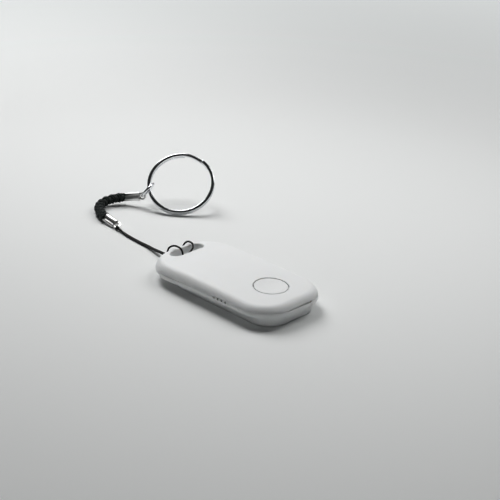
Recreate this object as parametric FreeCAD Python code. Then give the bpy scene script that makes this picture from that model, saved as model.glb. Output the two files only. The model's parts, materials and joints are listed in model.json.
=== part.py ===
"""Bluetooth tracker tag: a white pebble-shaped case with a press button, a strap loop moulded
into its lower shell, and a short key strap with a split ring.

Millimetres. The case lies on its flat underside at Z = 0. X runs along the case, with the
strap at -X and the button at +X; Y runs across it, and the sound holes are on the -Y side.
The origin is the middle of the case's outline, at the underside.
"""
import FreeCAD
import Part
import math
import os
from FreeCAD import Vector

# ---------------------------------------------------------------- driving dimensions
LENGTH = 48.0                  # case, along X
WIDTH = 25.6                   # case, along Y
CORNER = 9.3                   # plan corner radius of the case
HEIGHT = 6.9                   # crown of the top
CROWN_ACROSS = 0.75            # how far the top falls from the middle to the long edges
CROWN_X2 = 0.84                # fall towards the ends, even part
CROWN_X3 = 0.34                # fall towards the ends, odd part: the strap end is lower
EDGE_ROUND = 2.7               # rounding of the top edge
WALL = 1.0
PARTING_Z = 4.62               # where the two shells meet, at the button end
PARTING_GAP = 0.06
RIM_BOTTOM = 3.42              # underside of the rim that overhangs the tub, at the button end
DROOP_START = 9.0              # from here towards the strap, the parting and the rim slope down
DROOP_END = -14.5              # and from here on they are level again
DROOP = 1.02                   # how far they come down
TUB_X0 = -16.2                 # strap end of the tub
TUB_X1 = 22.4
TUB_HALF = 10.0                # half the tub's width, well inside the rim
TUB_CORNER = 6.0
TUB_ROUND = 0.5                # bottom edge of the tub
TUB_WALL = 0.9
TUB_TOP = 3.9                  # where the tub ends inside the rim, at the button end

LOOP_X = -16.6                 # the strap loop of the lower shell starts here
LOOP_GAP = 0.015               # between the lid and the loop
LOOP_ROUND = 0.8
SLOT_X0 = -21.4                # strap slot, bar side
SLOT_X1 = -17.4                # strap slot, case side
SLOT_HALF = 5.7                # half its length across the case
SLOT_ROUND = 0.5

LIP_OUTER = 1.45               # the lid's lip, as insets from the case outline
LIP_INNER = 2.15
LIP_BOTTOM = 4.3
SEAT_INSET = 1.4               # the lower shell's seat round that lip
SEAT_Z = 4.0

BUTTON_X = 13.2
BUTTON_R = 4.6
BUTTON_GAP = 0.32              # the groove round the button
BUTTON_DISH = 0.28             # depth of the hollow in its top
BUTTON_TRAVEL = 0.3
FLANGE_R = 5.7                 # the flange that keeps the button in
FLANGE_Z = 5.15
FLANGE_TOP = 5.45
SEAL_Z = 4.65                  # floor of the retainer, under the seal
STEM_MEET = 4.30               # where the button's stem meets the switch's

BOARD_Z = 1.05
BOARD_T = 0.6
BOARD_TOP = BOARD_Z + BOARD_T
BOARD_GAP = 0.6                # round the board, to the tub's wall
CELL_X = -5.0
CELL_R = 8.0
CELL_T = 3.2
CELL_Z = 1.92

RING_R = 9.9                   # split ring: mean radius of its coils
RING_RADIAL = 1.0              # wire, across the coil
RING_AXIAL = 0.80              # wire, along the ring's axis
RING_GAP = 0.06                # between the two coils
RING_CENTRE = Vector(-53.8, 29.7, 7.44)
RING_TILT = 40.7               # the ring leans this far from flat
RING_HEADING = -52.5           # its axis leans towards this heading

JUMP_R = 2.5                   # jump ring: mean radius
JUMP_WIRE = 0.44               # its wire's radius
JUMP_UP = Vector(0.234, 0.688, 0.687)      # from the eyelet towards the ring's middle
JUMP_AXIS = Vector(-0.742, -0.330, 0.584)  # the jump ring's own axis

CRIMP_LENGTH = 5.75            # mouth to eyelet centre
CRIMP_BODY = 4.8
CRIMP_HALF = 1.28              # half its width
CRIMP_UNDER = -0.75            # outside of its base
CRIMP_OVER = 0.85              # outside of the flap that is folded over last
CRIMP_INNER = 0.36             # outside of the flap underneath
FLAP_EDGE = -0.3               # where the outer flap ends
SHEET = 0.28
EYELET_R = 1.15
EYELET_HOLE = 0.64
EYELET_THICK = 0.34
TAG_MOUTH = Vector(-59.25, 4.0, 1.68)      # crimp at the cord's end of the braid
TAG_EYELET = Vector(-53.55, 3.65, 1.04)
TAG_FACE = Vector(0.085, -0.460, 0.884)    # the way that crimp's flaps face
KEY_EYELET = Vector(-61.4, 20.6, 3.5)      # crimp at the key ring's end of the braid
KEY_AXIS = Vector(0.836, 0.516, 0.184)
KEY_FACE = Vector(0.527, -0.780, 0.338)

BRAID_R = 1.52
CORD_R = 0.27
KNOT_CENTRE = Vector(-52.55, 2.80, 0.78)

# The braid's middle line, from one crimp's mouth to the other's.
BRAID_ROUTE = [
    (-59.25, 4.0, 1.66), (-61.4, 4.55, 1.58), (-64.5, 5.9, 1.56), (-67.3, 8.0, 1.58),
    (-68.75, 10.7, 1.72), (-68.55, 13.3, 2.0), (-67.6, 15.6, 2.3), (-66.2, 17.63, 2.44),
]

# The cord, from the knot to the case, hitched round the loop's bar and back to the knot.
CORD_ROUTE = [
    (-51.9, 2.75, 0.98), (-48.5, 1.98, 0.5), (-44.8, 1.5, 0.31), (-41.0, 1.25, 0.32),
    (-37.6, 1.15, 0.40), (-34.6, 0.55, 0.70), (-31.6, 0.05, 1.10), (-28.6, -0.5, 1.50),
    (-25.6, -0.95, 1.78), (-22.6, -1.22, 1.90), (-20.0, -1.32, 2.2), (-19.35, -1.4, 4.7),
    (-20.3, -1.3, 6.35), (-22.1, -2.05, 7.0), (-23.8, -2.75, 6.1), (-24.55, -2.75, 4.3),
    (-24.9, -2.4, 2.3), (-25.6, -1.75, 0.85), (-26.05, -0.5, 0.34), (-26.0, 1.1, 0.36),
    (-25.45, 2.35, 1.05), (-24.85, 3.0, 2.5), (-24.55, 3.3, 4.2), (-23.75, 3.35, 5.75),
    (-22.4, 3.5, 6.55), (-20.85, 3.6, 6.3), (-19.75, 2.8, 5.65), (-19.3, 1.3, 5.05),
    (-19.5, 0.05, 3.95), (-20.4, -0.5, 2.3), (-22.7, -0.6, 1.92), (-25.6, -0.36, 1.78),
    (-28.6, 0.08, 1.50), (-31.6, 0.63, 1.10), (-34.6, 1.13, 0.70), (-37.6, 1.73, 0.40),
    (-41.0, 1.83, 0.32), (-44.8, 2.08, 0.31), (-48.5, 2.5, 0.31), (-51.9, 3.0, 0.42),
]

UP = Vector(0, 0, 1)


# ---------------------------------------------------------------- general helpers
def outline(x0, x1, half_width, radius):
    """A rounded rectangle in the XY plane, as a wire of four lines and four arcs."""
    edges = []
    corners = [(x1 - radius, half_width - radius, 0), (x0 + radius, half_width - radius, 90),
               (x0 + radius, radius - half_width, 180), (x1 - radius, radius - half_width, 270)]
    ends = []
    for cx, cy, start in corners:
        points = []
        for turn in (0, 45, 90):
            angle = math.radians(start + turn)
            points.append(Vector(cx + radius * math.cos(angle), cy + radius * math.sin(angle), 0))
        edges.append(Part.Arc(*points).toShape())
        ends.append(points)
    for here, there in zip(ends, ends[1:] + ends[:1]):
        if (there[0] - here[2]).Length > 1e-6:
            edges.append(Part.LineSegment(here[2], there[0]).toShape())
    return Part.Wire(Part.__sortEdges__(edges))


def prism(x0, x1, half_width, radius, z0, z1):
    face = Part.Face(outline(x0, x1, half_width, radius))
    face.translate(Vector(0, 0, z0))
    return face.extrude(Vector(0, 0, z1 - z0))


def inset_prism(inset, z0, z1, x0=None):
    """A prism on the case's outline, drawn in by inset; x0 moves its strap end."""
    left = -LENGTH / 2 + inset if x0 is None else x0
    return prism(left, LENGTH / 2 - inset, WIDTH / 2 - inset, CORNER - inset, z0, z1)


def box(x0, x1, y0, y1, z0, z1):
    return Part.makeBox(x1 - x0, y1 - y0, z1 - z0, Vector(x0, y0, z0))


def centred_box(centre, size):
    corner = centre - size * 0.5
    return Part.makeBox(size.x, size.y, size.z, corner)


def cylinder(x, y, radius, z0, z1):
    return Part.makeCylinder(radius, z1 - z0, Vector(x, y, z0))


def tube_ring(x, y, outer, inner, z0, z1):
    return cylinder(x, y, outer, z0, z1).cut(cylinder(x, y, inner, z0 - 1, z1 + 1))


def placed(shape, origin, x_axis, z_hint):
    """The shape moved so that its X lies on x_axis and its Z as near to z_hint as it can."""
    x_dir = Vector(x_axis).normalize()
    y_dir = Vector(z_hint).cross(x_dir).normalize()
    z_dir = x_dir.cross(y_dir)
    turn = FreeCAD.Rotation(x_dir, y_dir, z_dir, "XYZ")
    copy = shape.copy()
    copy.Placement = FreeCAD.Placement(Vector(origin), turn).multiply(copy.Placement)
    return copy


def rounded_route(points):
    """Straight runs joined by tangent arcs, each as large as its two runs allow."""
    points = [Vector(*p) for p in points]
    edges = []
    radii = []
    last = points[0]
    for before, corner, after in zip(points, points[1:], points[2:]):
        run_in = (corner - before).Length
        run_out = (after - corner).Length
        way_in = (corner - before).normalize()
        way_out = (after - corner).normalize()
        half_turn = way_in.getAngle(way_out) / 2
        setback = 0.45 * min(run_in, run_out)
        radius = setback / math.tan(half_turn)
        start = corner - way_in * setback
        end = corner + way_out * setback
        inward = (way_out - way_in).normalize()
        middle = corner + inward * (radius / math.cos(half_turn) - radius)
        edges.append(Part.LineSegment(last, start).toShape())
        edges.append(Part.Arc(start, middle, end).toShape())
        radii.append(radius)
        last = end
    edges.append(Part.LineSegment(last, points[-1]).toShape())
    return Part.Wire(edges), radii


def tube(name, points, radius):
    path, radii = rounded_route(points)
    start = Vector(*points[0])
    heading = Vector(*points[1]) - start
    section = Part.Wire([Part.Circle(start, heading, radius).toShape()])
    solid = path.makePipeShell([section], True, False)
    expected = math.pi * radius ** 2 * path.Length
    print(f"{name}: length {path.Length:.1f}, smallest radius {min(radii):.2f}, "
          f"volume {solid.Volume:.2f} of {expected:.2f}")
    print("  radii " + " ".join(f"{r:.1f}" for r in radii))
    return solid


# ---------------------------------------------------------------- the case's form
def slab(low, high):
    """The layer between two heights at the button end; it slopes down towards the strap."""
    top = [(-40, high - DROOP), (DROOP_END, high - DROOP), (DROOP_START, high), (40, high)]
    bottom = [(40, low), (DROOP_START, low), (DROOP_END, low - DROOP), (-40, low - DROOP)]
    outline_xz = [Vector(x, -20, z) for x, z in top + bottom + top[:1]]
    return Part.Face(Part.makePolygon(outline_xz)).extrude(Vector(0, 40, 0))


def crown(x, y):
    t = x / (LENGTH / 2)
    across = CROWN_ACROSS * (y / (WIDTH / 2)) ** 2
    return HEIGHT - across - CROWN_X2 * t ** 2 + CROWN_X3 * t ** 3


def crown_block(lower):
    """Everything under the crowned top surface, moved down by lower."""
    x_span = (-28.0, 28.0)
    y_span = (-16.0, 16.0)
    half_x = LENGTH / 2
    half_y = WIDTH / 2
    surface = Part.BezierSurface()
    surface.increase(3, 2)
    for i in range(4):
        xs = [x_span[1]] * i + [x_span[0]] * (3 - i)
        x_mean = sum(xs) / 3
        x_square = (xs[0] * xs[1] + xs[1] * xs[2] + xs[0] * xs[2]) / 3
        x_cube = xs[0] * xs[1] * xs[2]
        for j in range(3):
            ys = [y_span[1]] * j + [y_span[0]] * (2 - j)
            z = HEIGHT - lower
            z -= CROWN_ACROSS * ys[0] * ys[1] / half_y ** 2
            z -= CROWN_X2 * x_square / half_x ** 2
            z += CROWN_X3 * x_cube / half_x ** 3
            surface.setPole(i + 1, j + 1, Vector(x_mean, sum(ys) / 2, z))
    return surface.toShape().extrude(Vector(0, 0, -20))


def round_top(solid, radius, above):
    """Round the edges between the crowned top and the sides."""
    edges = []
    for edge in solid.Edges:
        ends = [v.Point.z for v in edge.Vertexes]
        level = abs(ends[0] - ends[-1]) < 1.0
        if min(ends) > above and level and edge.Length > 0.01:
            edges.append(edge)
    return solid.makeFillet(radius, edges)


def full_form():
    """The outside of both shells down to the underside of the strap loop and the rim."""
    sides = inset_prism(0.0, 1.5, 12.0)
    form = round_top(sides.common(crown_block(0.0)), EDGE_ROUND, 4.0)
    return form.common(slab(RIM_BOTTOM, 20))


def inner_form():
    """The hollow inside the lid, a wall's thickness in from the outside."""
    sides = prism(TUB_X0 + WALL, LENGTH / 2 - WALL, WIDTH / 2 - WALL, CORNER - WALL, 1.5, 12.0)
    return round_top(sides.common(crown_block(WALL)), EDGE_ROUND - WALL, 4.0)


def slot_cutter():
    """The strap slot, with its rounded rim."""
    radius = (SLOT_X1 - SLOT_X0) / 2 - 0.001
    return prism(SLOT_X0, SLOT_X1, SLOT_HALF, radius, -1.0, 12.0)


def pry_notch():
    """Where a coin edge goes in to prise the lid up: a long slit, deeper at one end."""
    slit = box(23.3, 30.0, -4.4, 4.6, 4.42, 4.72)
    return slit.fuse(box(22.9, 30.0, 1.5, 4.6, 4.32, 4.80))


def parting_groove():
    """A shallow groove round the case, along the line where the shells meet."""
    layer = slab(PARTING_Z - 0.05, PARTING_Z + PARTING_GAP + 0.05)
    ring = inset_prism(-2.0, 0.0, 9.0).cut(inset_prism(0.14, -1.0, 10.0))
    return ring.common(layer).common(box(LOOP_X + 0.3, 40, -20, 20, 0, 12))


def round_slot(solid):
    """Round the slot's rims, top and bottom."""
    edges = []
    for edge in solid.Edges:
        bounds = edge.BoundBox
        in_slot = (bounds.XMin > SLOT_X0 - 0.05 and bounds.XMax < SLOT_X1 + 0.05
                   and abs(bounds.Center.y) + bounds.YLength / 2 < SLOT_HALF + 0.05)
        if in_slot and bounds.ZLength < 0.9 and edge.Length > 0.2:
            edges.append(edge)
    return solid.makeFillet(SLOT_ROUND, edges)


def round_under(form):
    """Round the outer lower edge of the strap loop, as far as the slope behind it."""
    bottom = RIM_BOTTOM - DROOP
    rounded = inset_prism(0.0, bottom, 6.0)
    rounded = rounded.makeFillet(LOOP_ROUND, [e for e in rounded.Edges
                                              if e.BoundBox.ZMax < bottom + 0.01])
    spare = box(-30, LOOP_X, -20, 20, bottom - 0.5, bottom + LOOP_ROUND)
    return form.cut(spare.cut(rounded))


def sound_holes():
    """Four small holes in the rim, sloping down into the case."""
    holes = []
    for i in range(4):
        x = 4.6 + 1.42 * i
        start = Vector(x, -WIDTH / 2 - 1.0, 4.22 + 0.12)
        holes.append(Part.makeCylinder(0.34, 5.2, start, Vector(0, 1, -0.12)))
    return holes


# ---------------------------------------------------------------- shells
SCREW_PLACES = [(18.6, 5.2), (18.6, -5.2), (7.2, 7.1)]


def bottom_shell():
    form = round_under(full_form())
    keep = slab(-9, PARTING_Z).fuse(box(-40, LOOP_X, -20, 20, -5, 12))
    shell = form.common(keep)
    shell = shell.cut(slot_cutter())
    shell = round_slot(shell)
    tub = prism(TUB_X0, TUB_X1, TUB_HALF, TUB_CORNER, 0.0, 6.0)
    bottom_edges = [e for e in tub.Edges if e.BoundBox.ZMax < 0.01]
    tub = tub.makeFillet(TUB_ROUND, bottom_edges).common(slab(-9, TUB_TOP))
    shell = shell.fuse(tub).removeSplitter()
    shell = shell.cut(prism(TUB_X0 + WALL, TUB_X1 - TUB_WALL, TUB_HALF - TUB_WALL,
                            TUB_CORNER - TUB_WALL, TUB_WALL, 6.0))
    seat = inset_prism(SEAT_INSET, 0.0, 6.0, x0=LOOP_X + 0.65)
    shell = shell.cut(seat.common(slab(SEAT_Z, 9)))
    for hole in sound_holes():
        shell = shell.cut(hole)
    shell = shell.cut(pry_notch())
    shell = shell.cut(parting_groove())
    for x, y in SCREW_PLACES:
        shell = shell.fuse(cylinder(x, y, 1.1, 0.7, BOARD_Z))
        shell = shell.cut(cylinder(x, y, 0.5, 0.35, BOARD_Z + 1))
    return shell


def top_shell():
    lid = full_form().common(slab(PARTING_Z + PARTING_GAP, 20))
    lid = lid.common(box(LOOP_X + LOOP_GAP, 40, -20, 20, 0, 12))
    lid = lid.cut(inner_form())
    lip = inset_prism(LIP_OUTER, 0.0, 9.0, x0=LOOP_X + 0.70)
    lip = lip.cut(inset_prism(LIP_INNER, -1.0, 10.0, x0=LOOP_X + 1.4))
    lid = lid.fuse(lip.common(slab(LIP_BOTTOM, 5.3)).common(crown_block(0.6)))
    lid = lid.cut(cylinder(BUTTON_X, 0, BUTTON_R + BUTTON_GAP, 0, 12))
    lid = lid.cut(pry_notch())
    lid = lid.cut(parting_groove())
    return lid.removeSplitter()


def shell_gasket():
    ring = inset_prism(LIP_OUTER + 0.05, 0.0, 9.0, x0=LOOP_X + 0.75)
    hole = inset_prism(LIP_INNER, -1.0, 10.0, x0=LOOP_X + 1.35)
    return ring.cut(hole).common(slab(SEAT_Z, LIP_BOTTOM - 0.03))


# ---------------------------------------------------------------- button
def button_cap():
    top = crown(BUTTON_X, 0) - 0.02
    disc = cylinder(BUTTON_X, 0, BUTTON_R, FLANGE_TOP - 0.2, top + 1)
    disc = disc.common(crown_block(0.02))
    rim = [e for e in disc.Edges if e.BoundBox.ZMin > FLANGE_TOP + 0.3 and e.Length > 5]
    disc = disc.makeFillet(0.22, rim)
    dish_r = (BUTTON_R ** 2 + BUTTON_DISH ** 2) / (2 * BUTTON_DISH)
    dish = Part.makeSphere(dish_r, Vector(BUTTON_X, 0, top - BUTTON_DISH + dish_r))
    disc = disc.cut(dish)
    flange = cylinder(BUTTON_X, 0, FLANGE_R, FLANGE_Z, FLANGE_TOP)
    stem = cylinder(BUTTON_X, 0, 1.2, STEM_MEET + 0.03, FLANGE_Z + 0.1)
    return disc.fuse([flange, stem]).removeSplitter()


def button_retainer():
    """The cup bonded under the lid that holds the button by its flange."""
    cup = cylinder(BUTTON_X, 0, FLANGE_R + 1.0, 4.36, 7.0)
    cup = cup.cut(cylinder(BUTTON_X, 0, FLANGE_R + 0.15, SEAL_Z, 8.0))
    cup = cup.cut(cylinder(BUTTON_X, 0, 1.9, 4.0, 5.0))
    return cup.common(crown_block(WALL + 0.02))


def button_seal():
    """A soft ring on the retainer's floor, under the button's flange."""
    return tube_ring(BUTTON_X, 0, FLANGE_R - 0.1, FLANGE_R - 1.2, SEAL_Z, FLANGE_Z - BUTTON_TRAVEL - 0.01)


def tact_switch():
    body = centred_box(Vector(BUTTON_X, 0, BOARD_TOP + 0.85), Vector(3.6, 3.6, 1.7))
    body = body.makeFillet(0.3, [e for e in body.Edges if e.BoundBox.ZLength > 1.6])
    collar = cylinder(BUTTON_X, 0, 1.4, BOARD_TOP + 1.6, BOARD_TOP + 1.9)
    well = cylinder(BUTTON_X, 0, 0.95, BOARD_TOP + 0.9, BOARD_TOP + 3)
    shape = body.fuse(collar).cut(well)
    for x in (-2.1, 2.1):
        for y in (-1.1, 1.1):
            foot = centred_box(Vector(BUTTON_X + x, y, BOARD_TOP + 0.1), Vector(0.8, 0.5, 0.2))
            shape = shape.fuse(foot)
    return shape


def switch_stem():
    stem = cylinder(BUTTON_X, 0, 0.9, BOARD_TOP + 1.3, STEM_MEET)
    return stem.makeChamfer(0.15, [stem.Edges[0]])


# ---------------------------------------------------------------- electronics
def circuit_board():
    inset = TUB_WALL + BOARD_GAP
    board = prism(TUB_X0 + WALL + BOARD_GAP, TUB_X1 - inset, TUB_HALF - inset,
                  TUB_CORNER - inset, BOARD_Z, BOARD_TOP)
    for x, y in SCREW_PLACES:
        board = board.cut(cylinder(x, y, 0.6, 0, 5))
    return board


def board_screws():
    screws = []
    for x, y in SCREW_PLACES:
        head = cylinder(x, y, 1.0, BOARD_TOP, BOARD_TOP + 0.5)
        head = head.makeFillet(0.15, [e for e in head.Edges if e.BoundBox.ZMin > BOARD_TOP + 0.4])
        shank = cylinder(x, y, 0.47, 0.5, BOARD_TOP + 0.1)
        screw = head.fuse(shank)
        for size in (Vector(1.2, 0.26, 0.5), Vector(0.26, 1.2, 0.5)):
            screw = screw.cut(centred_box(Vector(x, y, BOARD_TOP + 0.5), size))
        screws.append(screw)
    return Part.makeCompound(screws)


def bluetooth_chip():
    """A square moulded package with six leads along each of two sides, and a pin-one dimple."""
    x, y = 12.6, 5.6
    size, height, lead = 4.0, 0.8, 0.25
    body = centred_box(Vector(x, y, BOARD_TOP + height / 2), Vector(size, size, height))
    top = [e for e in body.Edges if e.BoundBox.ZMin > BOARD_TOP + height - 0.01]
    body = body.makeChamfer(0.12, top)
    body = body.cut(cylinder(x - 1.4, y + 1.4, 0.22, BOARD_TOP + height - 0.05, 9))
    for i in range(6):
        along = x - size / 2 + (i + 0.5) * size / 6
        for side in (-1, 1):
            place = Vector(along, y + side * (size / 2 + lead / 2 - 0.05), BOARD_TOP + 0.08)
            body = body.fuse(centred_box(place, Vector(0.28, lead + 0.1, 0.16)))
    return body


def crystal():
    can = centred_box(Vector(19.4, 2.2, BOARD_TOP + 0.35), Vector(1.6, 2.4, 0.7))
    can = can.makeFillet(0.3, [e for e in can.Edges if e.BoundBox.ZLength > 0.6])
    return can


def chip_antenna():
    bar = centred_box(Vector(20.0, -1.2, BOARD_TOP + 0.5), Vector(1.4, 3.2, 1.0))
    for y in (-2.55, 0.15):
        cap = centred_box(Vector(20.0, y, BOARD_TOP + 0.5), Vector(1.5, 0.5, 1.1))
        bar = bar.fuse(cap)
    return bar.common(box(0, 40, -20, 20, BOARD_TOP, 9))


def capacitors():
    parts = []
    for x, y in [(9.0, 3.4), (9.0, 4.8), (9.0, 6.2), (15.8, -4.0), (15.8, -5.4), (17.4, -1.6)]:
        body = centred_box(Vector(x, y, BOARD_TOP + 0.25), Vector(1.0, 0.5, 0.5))
        parts.append(body)
    return Part.makeCompound(parts)


def status_led():
    base = centred_box(Vector(17.6, 0.6, BOARD_TOP + 0.15), Vector(1.6, 0.8, 0.3))
    lens = centred_box(Vector(17.6, 0.6, BOARD_TOP + 0.4), Vector(1.0, 0.8, 0.3))
    return base.fuse(lens)


BUZZER = Vector(9.75, -5.85, BOARD_TOP + 1.3)


def buzzer():
    size = Vector(5.8, 5.6, 2.6)
    case = centred_box(BUZZER, size)
    case = case.makeFillet(0.4, [e for e in case.Edges if e.BoundBox.ZLength > 2.5])
    port = Part.makeCylinder(0.9, 2.0, Vector(BUZZER.x - 1.2, BUZZER.y - 3.2, BUZZER.z), Vector(0, 1, 0))
    case = case.cut(port)
    for x in (-1, 1):
        pad = centred_box(Vector(BUZZER.x + x * 2.6, BUZZER.y + 2.9, BOARD_TOP + 0.1), Vector(0.5, 0.5, 0.2))
        case = case.fuse(pad)
    return case


def buzzer_mesh():
    """A strip of acoustic mesh behind the sound holes, with a row of openings."""
    y = -TUB_HALF + TUB_WALL
    strip = box(3.6, 10.0, y + 0.02, y + 0.17, 3.1, 4.3)
    for i in range(10):
        x = 4.1 + 0.6 * i
        for z in (3.48, 3.93):
            strip = strip.cut(box(x, x + 0.35, y - 1, y + 1, z - 0.15, z + 0.15))
    return strip


def coin_cell():
    """A button cell: a wide can with a rolled edge, and the smaller cap under it."""
    z0 = CELL_Z
    top = CELL_Z + CELL_T
    cap = CELL_R - 1.2
    profile = [(0, z0), (cap - 0.2, z0), (cap, z0 + 0.2), (cap, z0 + 0.35), (CELL_R - 0.5, z0 + 0.35),
               (CELL_R, z0 + 0.8), (CELL_R, top - 0.25), (CELL_R - 0.25, top), (0, top), (0, z0)]
    face = Part.Face(Part.makePolygon([Vector(r, 0, z) for r, z in profile]))
    cell = face.revolve(Vector(0, 0, 0), UP, 360)
    cell.translate(Vector(CELL_X, 0, 0))
    return cell


def battery_holder():
    """Two curved fences with fingers, standing on the board each side of the positive strip."""
    fence = tube_ring(CELL_X, 0, CELL_R + 0.8, CELL_R + 0.12, BOARD_TOP, 4.3)
    fence = fence.cut(box(CELL_X, 20, -1.9, 1.9, BOARD_TOP - 1, 9))
    wedge = Part.Face(Part.makePolygon([Vector(CELL_X, 0, 0), Vector(CELL_X + 30, -38, 0),
                                        Vector(CELL_X + 30, 38, 0), Vector(CELL_X, 0, 0)]))
    fence = fence.common(wedge.extrude(Vector(0, 0, 10)))
    for y in (-4.6, 4.6):
        fence = fence.cut(box(CELL_X, 20, y - 0.35, y + 0.35, 2.4, 9))
    return fence


def contact_positive():
    """A bent strip from the board, up past the fence and over the cell's top."""
    z0 = BOARD_TOP
    top = CELL_Z + CELL_T
    x0 = CELL_X + CELL_R + 0.15
    side = [(x0, z0), (x0, top + 0.02), (x0 - 4.6, top + 0.02), (x0 - 4.6, top + 0.18),
            (x0 + 0.2, top + 0.18), (x0 + 0.2, z0 + 0.2), (x0 + 2.2, z0 + 0.2), (x0 + 2.2, z0),
            (x0, z0)]
    strip = Part.Face(Part.makePolygon([Vector(x, -1.6, z) for x, z in side]))
    return strip.extrude(Vector(0, 3.2, 0))


def contact_negative():
    """A leaf on the board with its tongue raised to the cell's cap."""
    z0 = BOARD_TOP
    side = [(-8.0, z0), (-8.0, z0 + 0.12), (-5.0, z0 + 0.12), (-2.4, CELL_Z - 0.01),
            (-1.4, CELL_Z - 0.01), (-1.4, CELL_Z - 0.13), (-2.2, CELL_Z - 0.13), (-4.4, z0),
            (-8.0, z0)]
    leaf = Part.Face(Part.makePolygon([Vector(x, -1.5, z) for x, z in side]))
    return leaf.extrude(Vector(0, 3.0, 0))


def foam_pad():
    """The pad under the lid that keeps the cell from rattling."""
    pad = prism(CELL_X - 5.5, CELL_X + 3.2, 3.5, 1.0, CELL_Z + CELL_T + 0.02, 8.0)
    return pad.common(crown_block(WALL + 0.02))


# ---------------------------------------------------------------- strap
def rolled(top, corner):
    """A closed sheet channel, its upper side at top, as a tube along X."""
    outer = box(0, CRIMP_BODY, -CRIMP_HALF, CRIMP_HALF, CRIMP_UNDER, top)
    outer = outer.makeFillet(corner, [e for e in outer.Edges if e.BoundBox.XLength > 3])
    inner = box(-1, CRIMP_BODY + 1, SHEET - CRIMP_HALF, CRIMP_HALF - SHEET,
                CRIMP_UNDER + SHEET, top - SHEET)
    inner = inner.makeFillet(corner - SHEET, [e for e in inner.Edges if e.BoundBox.XLength > 3])
    return outer.cut(inner)


def crimp(hand):
    """A folded sheet crimp: a base with two flaps, one over the other, and a flat eyelet.

    Its X runs from the mouth to the eyelet, and its flaps face +Z. hand is the side, +Y or -Y,
    from which the outer flap comes.
    """
    half_t = EYELET_THICK / 2
    body = rolled(CRIMP_OVER, 0.6).common(box(-1, 9, FLAP_EDGE, 3, -3, 3))
    body = body.fuse(rolled(CRIMP_INNER, 0.5).common(box(-1, 9, -3, 0.4, -3, 3)))
    end = CRIMP_BODY
    base_top = CRIMP_UNDER + SHEET
    side = [(end - 0.8, CRIMP_UNDER), (end - 0.2, CRIMP_UNDER), (end + 0.3, -half_t),
            (end + 0.7, -half_t), (end + 0.7, half_t), (end + 0.1, half_t),
            (end - 0.4, base_top), (end - 0.8, base_top), (end - 0.8, CRIMP_UNDER)]
    neck = Part.Face(Part.makePolygon([Vector(x, -0.6, z) for x, z in side]))
    neck = neck.extrude(Vector(0, 1.2, 0))
    disc = cylinder(CRIMP_LENGTH, 0, EYELET_R, -half_t, half_t)
    eyelet = disc.fuse(neck).cut(cylinder(CRIMP_LENGTH, 0, EYELET_HOLE, -2, 2))
    body = body.fuse(eyelet).removeSplitter()
    return body if hand > 0 else body.mirror(Vector(0, 0, 0), Vector(0, 1, 0))


def at_tag(shape):
    axis = TAG_EYELET - TAG_MOUTH
    origin = TAG_EYELET - Vector(axis).normalize() * CRIMP_LENGTH
    return placed(shape, origin, axis, TAG_FACE)


def at_ring(shape):
    origin = KEY_EYELET - Vector(KEY_AXIS).normalize() * CRIMP_LENGTH
    return placed(shape, origin, KEY_AXIS, KEY_FACE)


def tag_crimp():
    return at_tag(crimp(1))


def ring_crimp():
    return at_ring(crimp(-1))


def tucked_end():
    """The braid's flattened end, pressed between a crimp's base and its inner flap."""
    half_w = CRIMP_HALF - SHEET - 0.15
    return box(-0.3, CRIMP_BODY - 1.1, -half_w, half_w,
               CRIMP_UNDER + SHEET + 0.03, CRIMP_INNER - SHEET - 0.03)


def braid_sleeve():
    sleeve = tube("braid", BRAID_ROUTE, BRAID_R)
    sleeve = sleeve.fuse([at_tag(tucked_end()), at_ring(tucked_end())])
    sleeve = sleeve.cut([tag_crimp(), ring_crimp()])
    return max(sleeve.Solids, key=lambda solid: solid.Volume)


def cord_knot():
    """The overhand knot that holds the cord's two ends in the eyelet."""
    ball = Part.makeSphere(0.5)
    stretch = FreeCAD.Matrix()
    stretch.scale(Vector(1.5, 1.35, 1.3))
    knot = ball.transformGeometry(stretch)
    knot.translate(KNOT_CENTRE)
    return knot.cut(tag_crimp())


def lanyard_cord():
    return tube("cord", CORD_ROUTE, CORD_R)


# ---------------------------------------------------------------- rings
def ring_axes():
    """The split ring's axis, and the two directions in its plane from which it is drawn."""
    tilt = math.radians(RING_TILT)
    heading = math.radians(RING_HEADING)
    axis = Vector(math.sin(tilt) * math.cos(heading), math.sin(tilt) * math.sin(heading), math.cos(tilt))
    level = axis.cross(UP).normalize()
    return axis, level, axis.cross(level)


def coil(start_deg, sweep_deg, height):
    """One flat turn of the split ring's wire about local Z."""
    half_r = RING_RADIAL / 2
    half_h = RING_AXIAL / 2
    section = Part.Face(Part.makePolygon([
        Vector(RING_R - half_r, 0, height - half_h), Vector(RING_R + half_r, 0, height - half_h),
        Vector(RING_R + half_r, 0, height + half_h), Vector(RING_R - half_r, 0, height + half_h),
        Vector(RING_R - half_r, 0, height - half_h)]))
    section.rotate(Vector(0, 0, 0), UP, start_deg)
    return section.revolve(Vector(0, 0, 0), UP, sweep_deg)


def crossover(start_deg, end_deg, height0, height1):
    """The stretch where the wire steps from one coil down to the other."""
    half_r = RING_RADIAL / 2
    half_h = RING_AXIAL / 2
    sections = []
    steps = 8
    for i in range(steps + 1):
        share = i / steps
        ease = share * share * (3 - 2 * share)
        height = height0 + (height1 - height0) * ease
        section = Part.makePolygon([
            Vector(RING_R - half_r, 0, height - half_h), Vector(RING_R + half_r, 0, height - half_h),
            Vector(RING_R + half_r, 0, height + half_h), Vector(RING_R - half_r, 0, height + half_h),
            Vector(RING_R - half_r, 0, height - half_h)])
        section.rotate(Vector(0, 0, 0), UP, start_deg + (end_deg - start_deg) * share)
        sections.append(section)
    return Part.makeLoft(sections, True, False)


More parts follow.
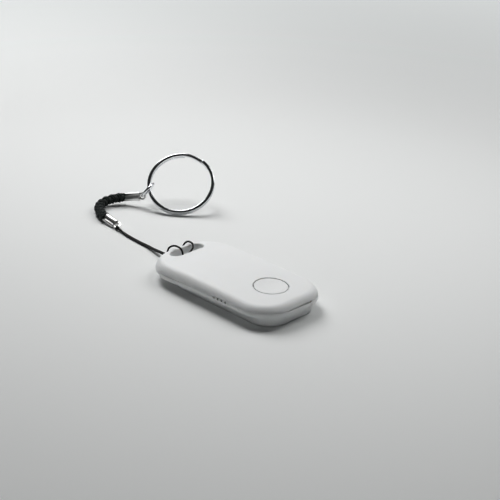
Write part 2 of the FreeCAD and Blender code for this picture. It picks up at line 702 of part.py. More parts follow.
def split_ring():
    offset = (RING_AXIAL + RING_GAP) / 2
    upper = coil(-90, 327, offset)
    step = crossover(-90, -123, offset, -offset)
    lower = coil(-123 - 327, 327, -offset)
    ring = upper.fuse([step, lower])
    axis, level, down = ring_axes()
    turn = FreeCAD.Rotation(level, down, axis, "XYZ")
    ring.Placement = FreeCAD.Placement(RING_CENTRE, turn)
    return ring


def jump_ring():
    """A round wire ring, cut once and closed to a hairline gap."""
    ring = Part.makeTorus(JUMP_R, JUMP_WIRE)
    gap = box(JUMP_R - 1, JUMP_R + 1, -0.04, 0.04, -1, 1)
    gap.rotate(Vector(0, 0, 0), UP, 28)
    ring = ring.cut(gap)
    return placed(ring, KEY_EYELET + JUMP_UP * JUMP_R, JUMP_UP, JUMP_AXIS)


# ---------------------------------------------------------------- output
NODES = {
    "bottom_shell": bottom_shell,
    "top_shell": top_shell,
    "shell_gasket": shell_gasket,
    "button_cap": button_cap,
    "button_retainer": button_retainer,
    "button_seal": button_seal,
    "tact_switch": tact_switch,
    "switch_stem": switch_stem,
    "circuit_board": circuit_board,
    "board_screws": board_screws,
    "bluetooth_chip": bluetooth_chip,
    "crystal": crystal,
    "chip_antenna": chip_antenna,
    "capacitors": capacitors,
    "status_led": status_led,
    "buzzer": buzzer,
    "buzzer_mesh": buzzer_mesh,
    "coin_cell": coin_cell,
    "battery_holder": battery_holder,
    "contact_positive": contact_positive,
    "contact_negative": contact_negative,
    "foam_pad": foam_pad,
    "lanyard_cord": lanyard_cord,
    "cord_knot": cord_knot,
    "tag_crimp": tag_crimp,
    "braid_sleeve": braid_sleeve,
    "ring_crimp": ring_crimp,
    "jump_ring": jump_ring,
    "split_ring": split_ring,
}

os.makedirs("parts", exist_ok=True)
for node, make in NODES.items():
    shape = make()
    if not shape.isValid():
        print(f"NOT VALID {node}")
    shape.exportStep(f"parts/{node}.step")
    bounds = shape.BoundBox
    print(f"{node}: {len(shape.Solids)} solid(s), {shape.Volume:.2f} mm3, "
          f"X {bounds.XMin:.2f}..{bounds.XMax:.2f} Y {bounds.YMin:.2f}..{bounds.YMax:.2f} "
          f"Z {bounds.ZMin:.2f}..{bounds.ZMax:.2f}")
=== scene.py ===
"""Looks of the bluetooth tracker tag: shells, braided key strap, rings and inner parts."""
import json
import math

import bpy
import numpy as np
from mathutils import Matrix, Vector


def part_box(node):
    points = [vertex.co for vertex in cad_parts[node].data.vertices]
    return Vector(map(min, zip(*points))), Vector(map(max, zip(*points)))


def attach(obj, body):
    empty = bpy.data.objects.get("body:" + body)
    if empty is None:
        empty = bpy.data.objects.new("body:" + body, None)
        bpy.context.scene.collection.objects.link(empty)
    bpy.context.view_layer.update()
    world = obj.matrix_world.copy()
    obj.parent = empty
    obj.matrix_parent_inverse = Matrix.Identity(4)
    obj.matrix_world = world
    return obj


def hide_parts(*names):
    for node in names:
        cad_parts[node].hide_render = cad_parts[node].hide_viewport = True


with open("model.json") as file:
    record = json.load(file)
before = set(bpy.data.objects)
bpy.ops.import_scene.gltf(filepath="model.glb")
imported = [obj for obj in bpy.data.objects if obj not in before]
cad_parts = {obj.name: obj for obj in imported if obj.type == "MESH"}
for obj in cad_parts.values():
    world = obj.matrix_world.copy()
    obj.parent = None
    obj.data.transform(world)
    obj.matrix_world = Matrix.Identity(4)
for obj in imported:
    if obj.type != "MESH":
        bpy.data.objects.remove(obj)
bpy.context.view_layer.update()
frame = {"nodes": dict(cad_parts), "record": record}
record = frame["record"]
nodes = frame["nodes"]
MM = 0.001

# ---------------------------------------------------------------- routes, as in the CAD source
CORD_RADIUS = 0.27 * MM
CORD_ROUTE = [
    (-51.9, 2.75, 0.98), (-48.5, 1.98, 0.5), (-44.8, 1.5, 0.31), (-41.0, 1.25, 0.32),
    (-37.6, 1.15, 0.40), (-34.6, 0.55, 0.70), (-31.6, 0.05, 1.10), (-28.6, -0.5, 1.50),
    (-25.6, -0.95, 1.78), (-22.6, -1.22, 1.90), (-20.0, -1.32, 2.2), (-19.35, -1.4, 4.7),
    (-20.3, -1.3, 6.35), (-22.1, -2.05, 7.0), (-23.8, -2.75, 6.1), (-24.55, -2.75, 4.3),
    (-24.9, -2.4, 2.3), (-25.6, -1.75, 0.85), (-26.05, -0.5, 0.34), (-26.0, 1.1, 0.36),
    (-25.45, 2.35, 1.05), (-24.85, 3.0, 2.5), (-24.55, 3.3, 4.2), (-23.75, 3.35, 5.75),
    (-22.4, 3.5, 6.55), (-20.85, 3.6, 6.3), (-19.75, 2.8, 5.65), (-19.3, 1.3, 5.05),
    (-19.5, 0.05, 3.95), (-20.4, -0.5, 2.3), (-22.7, -0.6, 1.92), (-25.6, -0.36, 1.78),
    (-28.6, 0.08, 1.50), (-31.6, 0.63, 1.10), (-34.6, 1.13, 0.70), (-37.6, 1.73, 0.40),
    (-41.0, 1.83, 0.32), (-44.8, 2.08, 0.31), (-48.5, 2.5, 0.31), (-51.9, 3.0, 0.42),
]
BRAID_ROUTE = [
    (-59.25, 4.0, 1.66), (-61.4, 4.55, 1.58), (-64.5, 5.9, 1.56), (-67.3, 8.0, 1.58),
    (-68.75, 10.7, 1.72), (-68.55, 13.3, 2.0), (-67.6, 15.6, 2.3), (-66.2, 17.63, 2.44),
]

# the crimps: a point on each axis (the eyelet), the axis from mouth to eyelet, the flaps' side
TAG_EYELET = np.array((-53.55, 3.65, 1.04)) * MM
TAG_AXIS = np.array((0.992, -0.061, -0.111))
TAG_FACE = np.array((0.085, -0.460, 0.884))
KEY_EYELET = np.array((-61.4, 20.6, 3.5)) * MM
KEY_AXIS = np.array((0.836, 0.516, 0.184))
KEY_FACE = np.array((0.527, -0.780, 0.338))
CRIMP_LENGTH = 5.75 * MM
EYELET_RIM = 0.9 * MM

# ---------------------------------------------------------------- camera and stage
CAMERA_AZIMUTH = 44.20
CAMERA_ELEVATION = 25.67
CAMERA_ROLL = 2.0
CAMERA_DISTANCE = 0.3859
CAMERA_TARGET = Vector((0.0, 0.0, 0.004))
CAMERA_WIDTH_ANGLE = 20.0
CAMERA_SHIFT = (0.0288, 0.0572)


def make_camera():
    azimuth = math.radians(CAMERA_AZIMUTH)
    elevation = math.radians(CAMERA_ELEVATION)
    roll = math.radians(CAMERA_ROLL)
    right = Vector((math.cos(azimuth), math.sin(azimuth), 0))
    ahead = Vector((-math.sin(azimuth) * math.cos(elevation),
                    math.cos(azimuth) * math.cos(elevation), -math.sin(elevation)))
    up = right.cross(ahead)
    right_rolled = right * math.cos(roll) + up * math.sin(roll)
    up_rolled = up * math.cos(roll) - right * math.sin(roll)
    turn = Matrix((right_rolled, up_rolled, -ahead)).transposed().to_4x4()
    data = bpy.data.cameras.new("camera")
    data.sensor_fit = "HORIZONTAL"
    data.angle = math.radians(CAMERA_WIDTH_ANGLE)
    data.shift_x, data.shift_y = CAMERA_SHIFT
    data.clip_start = 0.01
    data.clip_end = 20
    camera = bpy.data.objects.new("camera", data)
    bpy.context.scene.collection.objects.link(camera)
    camera.matrix_world = Matrix.Translation(CAMERA_TARGET - ahead * CAMERA_DISTANCE) @ turn
    bpy.context.scene.camera = camera


def area_light(name, place, target, width, height, watts, spread):
    """A soft rectangular light; spread is its beam's angle in degrees."""
    data = bpy.data.lights.new(name, "AREA")
    data.shape = "RECTANGLE"
    data.size = width
    data.size_y = height
    data.energy = watts
    data.spread = math.radians(spread)
    light = bpy.data.objects.new(name, data)
    bpy.context.scene.collection.objects.link(light)
    light.location = place
    light.rotation_mode = "QUATERNION"
    light.rotation_quaternion = (Vector(target) - Vector(place)).to_track_quat("-Z", "Y")


def stage_point(right, back, height):
    """A place beside the object: to the camera's right, behind the object and above the floor."""
    azimuth = math.radians(CAMERA_AZIMUTH)
    return (right * math.cos(azimuth) - back * math.sin(azimuth),
            right * math.sin(azimuth) + back * math.cos(azimuth), height)


STUDIO_FILL = 0.03
BACKDROP_TONE = 0.60
BACKDROP_COLOUR = (0.93, 0.96, 0.96, 1)


def make_world():
    """A dim room for the light it gives, behind a pale backdrop."""
    world = bpy.data.worlds.new("studio")
    bpy.context.scene.world = world
    world.use_nodes = True
    tree = world.node_tree
    background = tree.nodes["Background"]
    background.inputs["Color"].default_value = BACKDROP_COLOUR
    seen = tree.nodes.new("ShaderNodeLightPath")
    strength = ramp(tree, (seen, "Is Camera Ray"), 0.0, 1.0, STUDIO_FILL, BACKDROP_TONE)
    feed(tree, background.inputs["Strength"], strength)


# ---------------------------------------------------------------- material helpers
# A signal is a (node, output) pair. The mix node's sockets for colours have numbers, not names.
MIX_SHARE = 0
MIX_FIRST = 6
MIX_SECOND = 7
MIX_RESULT = 2


def new_material(name):
    material = bpy.data.materials.new(name)
    material.use_nodes = True
    tree = material.node_tree
    shader = tree.nodes["Principled BSDF"]
    return material, tree, shader


def feed(tree, socket, value):
    """Link a signal to the socket, or set the socket to a plain value."""
    if isinstance(value, tuple) and len(value) == 2:
        node, output = value
        tree.links.new(node.outputs[output], socket)
    else:
        socket.default_value = value


def add(tree, kind, inputs):
    """A node of that kind, with a signal or a value for each input, by the input's name or number."""
    node = tree.nodes.new(kind)
    for key, value in inputs.items():
        feed(tree, node.inputs[key], value)
    return node


def calculate(tree, operation, *values):
    """A signal worked out from one or two signals or numbers."""
    node = add(tree, "ShaderNodeMath", dict(enumerate(values)))
    node.operation = operation
    return node, "Value"


def texture_place(tree, system):
    """The signal of a point's place, in that system of the Texture Coordinate node."""
    return tree.nodes.new("ShaderNodeTexCoord"), system


def noise(tree, scale, detail=3.0, roughness=0.5, vector=None):
    """Noise in the frame's own space; scale is in cycles per millimetre."""
    if vector is None:
        vector = texture_place(tree, "Object")
    inputs = {"Vector": vector, "Scale": scale / MM, "Detail": detail, "Roughness": roughness}
    return add(tree, "ShaderNodeTexNoise", inputs), "Fac"


def ramp(tree, source, low, high, out_low, out_high):
    """Stretch a signal's range from low and high to out_low and out_high, and keep it inside."""
    inputs = {"Value": source, "From Min": low, "From Max": high, "To Min": out_low, "To Max": out_high}
    return add(tree, "ShaderNodeMapRange", inputs), "Result"


def blend_colours(tree, share, first, second):
    node = tree.nodes.new("ShaderNodeMix")
    node.data_type = "RGBA"
    for number, value in ((MIX_SHARE, share), (MIX_FIRST, first), (MIX_SECOND, second)):
        feed(tree, node.inputs[number], value)
    return node, MIX_RESULT


def shaded(colour, factor):
    """A colour made lighter or darker by a factor, with the alpha that a socket needs."""
    return tuple(min(1.0, channel * factor) for channel in colour) + (1,)


def bump(tree, shader, height, strength, distance):
    node = add(tree, "ShaderNodeBump", {"Strength": strength, "Distance": distance, "Height": height})
    feed(tree, shader.inputs["Normal"], (node, "Normal"))


# ---------------------------------------------------------------- materials
# patches, scratches and fuzz are in cycles per millimetre
PLASTIC_PATCHES = 0.12
PLASTIC_MOTTLE = 0.02
PLASTIC_GLOSS = 0.05
GRAIN_RANGE = (0.3, 0.7)
GRAIN_STRENGTH = 0.35
SUBSURFACE_RADIUS = (1.0, 0.9, 0.8)
SUBSURFACE_DEPTH = 0.6 * MM


def plastic(name, colour, roughness, grain=6.0, grain_depth=0.004, subsurface=0.0):
    """Moulded plastic: a fine spark-eroded grain, and a faint unevenness of tone and gloss.

    grain is in cycles per millimetre and grain_depth in millimetres.
    """
    material, tree, shader = new_material(name)
    patches = noise(tree, PLASTIC_PATCHES, detail=2.0)
    tone = blend_colours(tree, patches, shaded(colour, 1 - PLASTIC_MOTTLE),
                         shaded(colour, 1 + PLASTIC_MOTTLE))
    feed(tree, shader.inputs["Base Color"], tone)
    fine = noise(tree, grain, detail=2.0, roughness=0.6)
    gloss = ramp(tree, fine, *GRAIN_RANGE, roughness - PLASTIC_GLOSS, roughness + PLASTIC_GLOSS)
    feed(tree, shader.inputs["Roughness"], gloss)
    bump(tree, shader, fine, GRAIN_STRENGTH, grain_depth * MM)
    if subsurface:
        shader.inputs["Subsurface Weight"].default_value = subsurface
        shader.inputs["Subsurface Radius"].default_value = SUBSURFACE_RADIUS
        shader.inputs["Subsurface Scale"].default_value = SUBSURFACE_DEPTH
    return material


SCRATCHES = 3.0
SCRATCH_RANGE = (0.35, 0.75)
SCRATCH_STRENGTH = 0.12
SCRATCH_STRETCH = (1.0, 6.0, 1.0)
SCRATCH_TURN = (0.3, 0.7, 0.5)
SCRATCH_DEPTH = 0.004 * MM
TARNISH_PATCHES = 0.5
TARNISH = 0.1


def metal(name, colour, roughness, dulled=0.25):
    """Plated or rolled metal with fine scratches and a slightly uneven polish.

    dulled is how much the scratches add to the roughness.
    """
    material, tree, shader = new_material(name)
    shader.inputs["Metallic"].default_value = 1.0
    stretch = add(tree, "ShaderNodeMapping", {"Vector": texture_place(tree, "Object"),
                                              "Scale": SCRATCH_STRETCH, "Rotation": SCRATCH_TURN})
    lines = noise(tree, SCRATCHES, detail=4.0, roughness=0.7, vector=(stretch, "Vector"))
    patches = noise(tree, TARNISH_PATCHES)
    tone = blend_colours(tree, patches, shaded(colour, 1 - TARNISH), shaded(colour, 1))
    feed(tree, shader.inputs["Base Color"], tone)
    gloss = ramp(tree, lines, *SCRATCH_RANGE, roughness, roughness + dulled)
    feed(tree, shader.inputs["Roughness"], gloss)
    bump(tree, shader, lines, SCRATCH_STRENGTH, SCRATCH_DEPTH)
    return material


YARN_FILAMENTS = 4.0
YARN_FUZZ = 12.0
# painted shade: the share of the yarn's colour that is left in the grooves between filaments
YARN_SHADE = 0.55
YARN_RELIEF = 0.03 * MM
YARN_STRENGTH = 0.5


def yarn(name, colour, sheen, twist):
    """Waxed polyester yarn: filaments that wind along the strand's own UV, with painted shade in the
    grooves between them, and a dull sheen.

    twist is in turns per unit of V, which is a millimetre on a swept strand.
    """
    material, tree, shader = new_material(name)
    strand = add(tree, "ShaderNodeSeparateXYZ", {"Vector": texture_place(tree, "UV")})
    along = calculate(tree, "MULTIPLY", (strand, "Y"), twist)
    around = calculate(tree, "MULTIPLY", (strand, "X"), YARN_FILAMENTS)
    turns = calculate(tree, "MULTIPLY", calculate(tree, "ADD", along, around), 2 * math.pi)
    height = ramp(tree, calculate(tree, "SINE", turns), -1.0, 1.0, 0.0, 1.0)
    relief = calculate(tree, "ADD", height, noise(tree, YARN_FUZZ, detail=2.0))
    # painted shade: the colour is darker in the grooves between the filaments and full on their crests
    tone = blend_colours(tree, height, shaded(colour, YARN_SHADE), shaded(colour, 1))
    feed(tree, shader.inputs["Base Color"], tone)
    shader.inputs["Roughness"].default_value = 0.6
    shader.inputs["Specular IOR Level"].default_value = 0.25
    shader.inputs["Sheen Weight"].default_value = sheen
    shader.inputs["Sheen Roughness"].default_value = 0.4
    bump(tree, shader, relief, YARN_STRENGTH, YARN_RELIEF)
    return material


# ---------------------------------------------------------------- mesh helpers
def mesh_object(name, verts, faces, material, uvs=None):
    mesh = bpy.data.meshes.new(name)
    mesh.from_pydata([tuple(v) for v in verts], [], faces)
    if uvs is not None:
        layer = mesh.uv_layers.new(name="UVMap")
        for loop in mesh.loops:
            layer.data[loop.index].uv = uvs[loop.vertex_index]
    mesh.validate()
    mesh.update()
    obj = bpy.data.objects.new(name, mesh)
    bpy.context.scene.collection.objects.link(obj)
    obj.data.materials.append(material)
    obj.data.shade_smooth()
    return obj


CURVE_STEPS = 24
SAME_POINT = 1e-7
STRAND_SIDES = 12
CORNER_STEPS = 4


def nurbs_curve(name, route):
    """The route's points, in millimetres, as the control points of one smooth NURBS spline."""
    data = bpy.data.curves.new(name, "CURVE")
    data.dimensions = "3D"
    spline = data.splines.new("NURBS")
    spline.points.add(len(route) - 1)
    for point, (x, y, z) in zip(spline.points, route):
        point.co = (x * MM, y * MM, z * MM, 1)
    spline.order_u = 3
    spline.use_endpoint_u = True
    spline.resolution_u = CURVE_STEPS
    data.resolution_u = CURVE_STEPS
    obj = bpy.data.objects.new(name, data)
    bpy.context.scene.collection.objects.link(obj)
    return obj


def curve_points(obj):
    """The points of a curve with no bevel, as Blender draws it, without repeated ones."""
    bpy.context.view_layer.update()
    mesh = bpy.data.meshes.new_from_object(obj)
    points = np.array([v.co for v in mesh.vertices], float)
    bpy.data.meshes.remove(mesh)
    keep = [0]
    for i in range(1, len(points)):
        if np.linalg.norm(points[i] - points[keep[-1]]) > SAME_POINT:
            keep.append(i)
    return points[keep]


def distances_along(points):
    """How far along a polyline each of its points is."""
    gaps = np.linalg.norm(np.diff(points, axis=0), axis=1)
    return np.concatenate([[0], np.cumsum(gaps)])


def resample(points, step):
    """Evenly spaced points along a polyline, and how far along each is."""
    run = distances_along(points)
    count = max(2, int(round(run[-1] / step)) + 1)
    wanted = np.linspace(0, run[-1], count)
    return np.stack([np.interp(wanted, run, points[:, k]) for k in range(3)], 1), wanted


def unit(vectors):
    """A vector, or each row of an array of them, at length one."""
    return vectors / np.linalg.norm(vectors, axis=-1, keepdims=True)


def square_to(vector, direction):
    """The part of a vector that is at right angles to a direction of length one, at length one."""
    return unit(vector - vector @ direction * direction)


def frames_along(points):
    """Two normals that don't twist, at each point of a path; the first starts as near to up as it can."""
    tangents = unit(np.gradient(points, axis=0))
    normals = [square_to(np.array((0.0, 0.0, 1.0)), tangents[0])]
    for tangent in tangents[1:]:
        normals.append(square_to(normals[-1], tangent))
    normals = np.array(normals)
    return normals, np.cross(tangents, normals)


def sweep(name, points, profile, material, normals=None, sides=None, closed=False, shrink=None):
    """Sweep a closed outline along points. The outline's rows are metres along normals and sides.

    shrink gives each ring's scale, so that an end can be drawn in to a rounded tip.
    """
    if normals is None:
        normals, sides = frames_along(points)
    count = len(profile)
    scale = np.ones(len(points)) if shrink is None else shrink
    spread = (profile[None, :, 0, None] * normals[:, None, :]
              + profile[None, :, 1, None] * sides[:, None, :])
    rings = points[:, None, :] + scale[:, None, None] * spread
    verts = rings.reshape(-1, 3)
    faces = []
    last = len(points) if closed else len(points) - 1
    for i in range(last):
        here = i * count
        there = ((i + 1) % len(points)) * count
        for k in range(count):
            after = (k + 1) % count
            faces.append((here + k, here + after, there + after, there + k))
    if not closed:
        faces.append(tuple(reversed(range(count))))
        end = (len(points) - 1) * count
        faces.append(tuple(range(end, end + count)))
    uvs = [(k / count, run / MM) for run in distances_along(points) for k in range(count)]
    return mesh_object(name, verts, faces, material, uvs)


def circle_profile(radius, count):
    angles = np.linspace(0, 2 * math.pi, count, endpoint=False)
    return np.stack([radius * np.cos(angles), radius * np.sin(angles)], 1)


def closed_sweep(name, line, radius, up, material):
    """A round strand along a closed line, with its rings turned by one fixed direction."""
    tangents = unit(np.roll(line, -1, 0) - np.roll(line, 1, 0))
    sides = unit(np.cross(tangents, up))
    return sweep(name, line, circle_profile(radius, STRAND_SIDES), material,
                 np.cross(sides, tangents), sides, closed=True)


def rounded_rectangle(width, height, corner):
    points = []
    for cx, cy, start in ((1, 1, 0), (-1, 1, 90), (-1, -1, 180), (1, -1, 270)):
        for i in range(CORNER_STEPS + 1):
            angle = math.radians(start + 90 * i / CORNER_STEPS)
            points.append((cx * (width / 2 - corner) + corner * math.cos(angle),
                           cy * (height / 2 - corner) + corner * math.sin(angle)))
    return np.array(points)


def join(name, objects):
    """One object made of several, under a new name."""
    bpy.ops.object.select_all(action="DESELECT")
    for obj in objects:
        obj.select_set(True)
    bpy.context.view_layer.objects.active = objects[0]
    bpy.ops.object.join()
    objects[0].name = name
    objects[0].data.name = name
    return objects[0]


# ---------------------------------------------------------------- CAD pieces with their finish
WELD_REACH = 0.0005 * MM
BEVEL_SEGMENTS = 2
BEVEL_FROM = math.radians(35)
SHARP_FROM = math.radians(32)


def finish_cad(node, material, bevel):
    """Give a CAD node its material and edges softened by bevel millimetres; with 0 it stays as it is."""
    obj = nodes[node]
    obj.data.materials.clear()
    obj.data.materials.append(material)
    if not bevel:
        return
    weld = obj.modifiers.new("weld", "WELD")
    weld.merge_threshold = WELD_REACH
    soften = obj.modifiers.new("soften", "BEVEL")
    soften.width = bevel * MM
    soften.segments = BEVEL_SEGMENTS
    soften.limit_method = "ANGLE"
    soften.angle_limit = BEVEL_FROM
    soften.use_clamp_overlap = True
    obj.data.shade_smooth()
    obj.data.set_sharp_from_angle(angle=SHARP_FROM)


# ---------------------------------------------------------------- strap pieces
def make_cord(material):
    """The cord as a round curve, the points that it follows and its length."""
    curve = nurbs_curve("waxed_cord", CORD_ROUTE)
    path = curve_points(curve)
    curve.data.bevel_depth = CORD_RADIUS
    curve.data.bevel_resolution = 5
    curve.data.use_fill_caps = True
    curve.data.materials.append(material)
    return curve, path, float(distances_along(path)[-1])


BRAID_MIDDLE = 0.90 * MM          # radius of the strands' circle, and how far they rise and dip
BRAID_RISE = 0.31 * MM
BRAID_STRAND = 0.33 * MM          # radii of a strand and of the core
BRAID_CORE = 0.62 * MM
BRAID_LEAD = 4.4 * MM             # length of one turn
BRAID_CARRIERS = 2                # pairs of strands each way round
BRAID_BESIDE = 0.58               # half the angle between a pair's strands, in radians
BRAID_STEP = 0.10 * MM
BRAID_END = 0.6 * MM              # each end is drawn in over this length, to this share
BRAID_END_SHARE = 0.72


def make_braid(material):
    """A round braid: two pairs of cords each way round, each pair passing over one and under one."""
    guide = nurbs_curve("braid_guide", BRAID_ROUTE)
    path, run = resample(curve_points(guide), BRAID_STEP)
    bpy.data.objects.remove(guide)
    normals, sides = frames_along(path)
    turn = 2 * math.pi * run / BRAID_LEAD
    ends = np.clip(np.minimum(run, run[-1] - run) / BRAID_END, 0, 1)
    pinch = BRAID_END_SHARE + (1 - BRAID_END_SHARE) * np.sin(ends * math.pi / 2)
    outline = circle_profile(BRAID_STRAND, STRAND_SIDES)
    pieces = [sweep("braid_core", path, circle_profile(BRAID_CORE, STRAND_SIDES), material)]
    for way in (1, -1):
        for carrier in range(BRAID_CARRIERS):
            for beside in (-BRAID_BESIDE, BRAID_BESIDE):
                angle = way * turn + 2 * math.pi * carrier / BRAID_CARRIERS + beside
                lift = way * BRAID_RISE * np.cos(BRAID_CARRIERS * (turn + way * beside / 2))
                radius = (BRAID_MIDDLE + lift) * pinch
                line = (path + (radius * np.cos(angle))[:, None] * normals
                        + (radius * np.sin(angle))[:, None] * sides)
                pieces.append(sweep("braid_strand", line, outline, material))
    for eyelet, axis, face in ((TAG_EYELET, TAG_AXIS, TAG_FACE), (KEY_EYELET, KEY_AXIS, KEY_FACE)):
        pieces += tucked_strands(eyelet - axis * CRIMP_LENGTH, axis, face, material)
    return join("braided_sleeve", pieces)


TUCKED_COUNT = 4
TUCKED_SIDES = 10
TUCKED_POINTS = 30
TUCKED_RADIUS = 0.21 * MM
TUCKED_SPACING = 0.42 * MM
TUCKED_DEPTH = 0.195 * MM
TUCKED_FROM = -0.3 * MM
TUCKED_TO = 3.6 * MM


def tucked_strands(mouth, axis, face, material):
    """The braid's cords side by side inside a crimp, from just outside its mouth inwards."""
    across = unit(np.cross(face, axis))
    outline = circle_profile(TUCKED_RADIUS, TUCKED_SIDES)
    along = np.linspace(TUCKED_FROM, TUCKED_TO, TUCKED_POINTS)[:, None] * axis
    strands = []
    for i in range(TUCKED_COUNT):
        beside = (i - (TUCKED_COUNT - 1) / 2) * TUCKED_SPACING
        start = mouth + across * beside - face * TUCKED_DEPTH
        strands.append(sweep("tucked_strand", start + along, outline, material))
    return strands


KNOT_POINTS = 90
KNOT_UP = (0.3, 0.2, 1.0)
KNOT_HEIGHT_SHARE = 0.75
BIGHT_POINTS = 40
BIGHT_REACH = 0.50 * MM
BIGHT_RISE = 0.46 * MM
BIGHT_RADIUS = 0.25 * MM


def make_knot(material):
    """An overhand knot drawn tight against the eyelet, and its strand round the eyelet's rim."""
    low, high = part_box("cord_knot")
    centre = np.array((low + high) / 2)
    half = np.array((high - low) / 2)
    t = np.linspace(0, 2 * math.pi, KNOT_POINTS, endpoint=False)
    trefoil = np.stack([(np.cos(t) - 2 * np.cos(2 * t)) / 3,
                        (np.sin(t) + 2 * np.sin(2 * t)) / 3,
                        -KNOT_HEIGHT_SHARE * np.sin(3 * t)], 1)
    line = centre + trefoil * (half - CORD_RADIUS)
    knot = closed_sweep("tight_knot", line, CORD_RADIUS, np.array(KNOT_UP), material)
    toward = square_to(centre - TAG_EYELET, TAG_FACE)
    rim = TAG_EYELET + toward * EYELET_RIM
    t = np.linspace(0, 2 * math.pi, BIGHT_POINTS, endpoint=False)
    loop = (rim + (BIGHT_REACH * np.cos(t))[:, None] * toward
            + (BIGHT_RISE * np.sin(t))[:, None] * TAG_FACE)
    bight = closed_sweep("rim_bight", loop, BIGHT_RADIUS, np.cross(toward, TAG_FACE), material)
    return join("tight_knot", [knot, bight])


RING_RADIUS = 9.9 * MM
RING_RADIAL = 1.0 * MM
RING_AXIAL = 0.80 * MM
RING_CORNER = 0.2 * MM
RING_GAP = 0.06 * MM
RING_STEP_FROM = -90              # where the step between the coils begins and ends, in degrees
RING_STEP_TO = -123
RING_COIL_TURN = 327              # how far each coil goes on from the step
RING_FACET = 1.5
RING_TIP_SCALE = 0.86             # each end's last facet: the scale of its tip, and its length
RING_TIP_SHARE = 0.35


def make_split_ring(material):
    """Two flat coils of wire and the step between them."""
    mount = next(m for m in record["mounts"] if m["name"] == "key_ring")
    centre = np.array(mount["pos_m"])
    axis = np.array(mount["axis"])
    level = unit(np.cross(axis, (0, 0, 1)))
    down = np.cross(axis, level)
    offset = (RING_AXIAL + RING_GAP) / 2
    facets = round((RING_STEP_FROM - RING_STEP_TO + 2 * RING_COIL_TURN) / RING_FACET)
    degrees = RING_STEP_FROM + RING_COIL_TURN - RING_FACET * np.arange(facets + 1)
    share = np.clip((RING_STEP_FROM - degrees) / (RING_STEP_FROM - RING_STEP_TO), 0, 1)
    height = offset - 2 * offset * share * share * (3 - 2 * share)
    angles = np.radians(degrees)
    outward = np.cos(angles)[:, None] * level + np.sin(angles)[:, None] * down
    points = centre + RING_RADIUS * outward + height[:, None] * axis
    axes = np.repeat(axis[None, :], len(points), 0)
    profile = rounded_rectangle(RING_RADIAL, RING_AXIAL, RING_CORNER)
    shrink = np.ones(len(points))
    shrink[[0, -1]] = RING_TIP_SCALE
    for tip, beside in ((0, 1), (-1, -2)):
        points[tip] = points[beside] + (points[tip] - points[beside]) * RING_TIP_SHARE
    return sweep("key_ring_coils", points, profile, material, outward, axes, shrink=shrink)


JUMP_RADIUS = 2.5 * MM
JUMP_WIRE = 0.44 * MM
JUMP_CUT = 28                     # where the ring is cut, and half the gap, in degrees
JUMP_HALF_GAP = 1.0
JUMP_POINTS = 120
JUMP_SIDES = 20
JUMP_TIP_SCALE = 0.88


def make_jump_ring(material):
    """A round wire ring cut once, its ends nearly touching."""
    joint = next(j for j in record["behaviour"]["joints"] if j["name"] == "link_swing")
    eyelet = np.array(joint["pos_m"])
    along = np.array(joint["axis"])
    low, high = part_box("jump_ring")
    up = square_to(np.array((low + high) / 2) - eyelet, along)
    axis = np.cross(along, up)
    centre = eyelet + up * JUMP_RADIUS
    degrees = JUMP_CUT + np.linspace(JUMP_HALF_GAP, 360 - JUMP_HALF_GAP, JUMP_POINTS)
    angles = np.radians(degrees)
    across = np.cross(axis, up)
    outward = np.cos(angles)[:, None] * up + np.sin(angles)[:, None] * across
    points = centre + JUMP_RADIUS * outward
    axes = np.repeat(axis[None, :], len(points), 0)
    shrink = np.ones(len(points))
    shrink[[0, -1]] = JUMP_TIP_SCALE
    profile = circle_profile(JUMP_WIRE, JUMP_SIDES)
    return sweep("closed_jump_ring", points, profile, material, outward, axes, shrink=shrink)


# ---------------------------------------------------------------- floor
FLOOR_HALF = 0.7
FLOOR_TONE = (0.815, 0.825, 0.82, 1)
# painted light: between these distances from the middle, in metres, the floor's emission rises from
# nothing to the backdrop's tone
PAINTED_GLOW_START = 0.15
PAINTED_GLOW_END = 0.42


def make_floor():
    """A matt pale floor whose far parts glow faintly with painted light, in place of a lit cove, and meet
    the backdrop.
    """
    verts = [(-FLOOR_HALF, -FLOOR_HALF, 0), (FLOOR_HALF, -FLOOR_HALF, 0),
             (FLOOR_HALF, FLOOR_HALF, 0), (-FLOOR_HALF, FLOOR_HALF, 0)]
    material, tree, shader = new_material("studio_floor")
    shader.inputs["Base Color"].default_value = FLOOR_TONE
    shader.inputs["Roughness"].default_value = 0.9
    shader.inputs["Specular IOR Level"].default_value = 0.0
    reach = add(tree, "ShaderNodeVectorMath", {0: texture_place(tree, "Object")})
    reach.operation = "LENGTH"
    glow, output = ramp(tree, (reach, "Value"), PAINTED_GLOW_START, PAINTED_GLOW_END, 0.0, BACKDROP_TONE)
    glow.interpolation_type = "SMOOTHSTEP"
    # painted light: the floor glows in the backdrop's colour, more the farther out it is
    shader.inputs["Emission Color"].default_value = BACKDROP_COLOUR
    feed(tree, shader.inputs["Emission Strength"], (glow, output))
    floor = mesh_object("floor", verts, [(0, 1, 2, 3)], material)


# ---------------------------------------------------------------- build
make_camera()
make_world()
make_floor()
bpy.context.scene.view_settings.view_transform = "Standard"
bpy.context.scene.view_settings.look = "Medium High Contrast"
area_light("main_softbox", stage_point(-0.12, 0.22, 0.30), (0, 0.01, 0),
           width=0.16, height=0.30, watts=0.385, spread=110)
area_light("right_softbox", stage_point(0.21, 0.12, 0.30), (0, 0.01, 0),
           width=0.14, height=0.28, watts=0.17, spread=110)
area_light("front_card", stage_point(-0.16, -0.36, 0.10), (0, 0, 0),
           width=0.22, height=0.12, watts=0.05, spread=180)

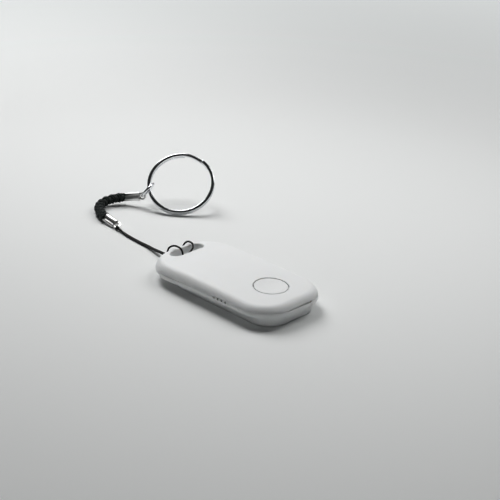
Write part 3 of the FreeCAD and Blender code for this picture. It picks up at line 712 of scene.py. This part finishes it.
white = plastic("white_shell_plastic", (0.86, 0.87, 0.87), roughness=0.56, subsurface=0.15)
button_white = plastic("button_plastic", (0.87, 0.88, 0.88), roughness=0.48, grain=9.0)
inner_plastic = plastic("inner_plastic", (0.70, 0.71, 0.72), roughness=0.5)
black_plastic = plastic("black_plastic", (0.03, 0.03, 0.033), roughness=0.45)
silicone = plastic("silicone", (0.5, 0.51, 0.53), roughness=0.6, grain=3.0)
foam = plastic("foam", (0.05, 0.05, 0.055), roughness=0.85, grain=5.0, grain_depth=0.05)
board_green = plastic("solder_mask", (0.015, 0.13, 0.06), roughness=0.35, grain=2.0)
chip_black = plastic("moulded_epoxy", (0.025, 0.025, 0.028), roughness=0.5, grain=8.0)
ceramic = plastic("ceramic", (0.55, 0.50, 0.42), roughness=0.5)
led_lens = plastic("led_lens", (0.90, 0.86, 0.68), roughness=0.2)
mesh_black = plastic("acoustic_mesh", (0.03, 0.03, 0.03), roughness=0.6, grain=10.0, grain_depth=0.02)
steel = metal("rolled_steel", (0.62, 0.63, 0.65), roughness=0.22)
contact_metal = metal("plated_strip", (0.72, 0.69, 0.62), roughness=0.25)
chrome = metal("chrome_wire", (0.82, 0.83, 0.85), roughness=0.06, dulled=0.12)
nickel = metal("nickel_sheet", (0.80, 0.80, 0.79), roughness=0.30, dulled=0.12)
cord_yarn = yarn("waxed_cord_yarn", (0.014, 0.015, 0.015), sheen=0.0, twist=1.6)
braid_yarn = yarn("braid_yarn", (0.034, 0.043, 0.040), sheen=0.2, twist=1.8)

# each CAD node's material and, in millimetres, how far its edges are softened
CAD_FINISH = {
    "bottom_shell": (white, 0), "top_shell": (white, 0), "shell_gasket": (silicone, 0.04),
    "button_cap": (button_white, 0), "button_retainer": (inner_plastic, 0.05),
    "button_seal": (silicone, 0.03), "tact_switch": (steel, 0.04), "switch_stem": (black_plastic, 0),
    "circuit_board": (board_green, 0.03), "board_screws": (steel, 0.02),
    "bluetooth_chip": (chip_black, 0.02), "crystal": (steel, 0.05), "chip_antenna": (ceramic, 0.04),
    "capacitors": (ceramic, 0.04), "status_led": (led_lens, 0.03), "buzzer": (black_plastic, 0.05),
    "buzzer_mesh": (mesh_black, 0), "coin_cell": (steel, 0.05), "battery_holder": (inner_plastic, 0.06),
    "contact_positive": (contact_metal, 0.03), "contact_negative": (contact_metal, 0.02),
    "foam_pad": (foam, 0.08), "tag_crimp": (nickel, 0.06), "ring_crimp": (nickel, 0.06),
}
for node, (material, bevel) in CAD_FINISH.items():
    finish_cad(node, material, bevel)

cord, cord_path, cord_length = make_cord(cord_yarn)
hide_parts("lanyard_cord")
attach(cord, "base")

braid = make_braid(braid_yarn)
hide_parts("braid_sleeve")
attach(braid, "base")

knot = make_knot(cord_yarn)
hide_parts("cord_knot")
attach(knot, "base")

split_ring = make_split_ring(chrome)
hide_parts("split_ring")
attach(split_ring, "key_ring")

jump_ring = make_jump_ring(chrome)
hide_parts("jump_ring")
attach(jump_ring, "link")
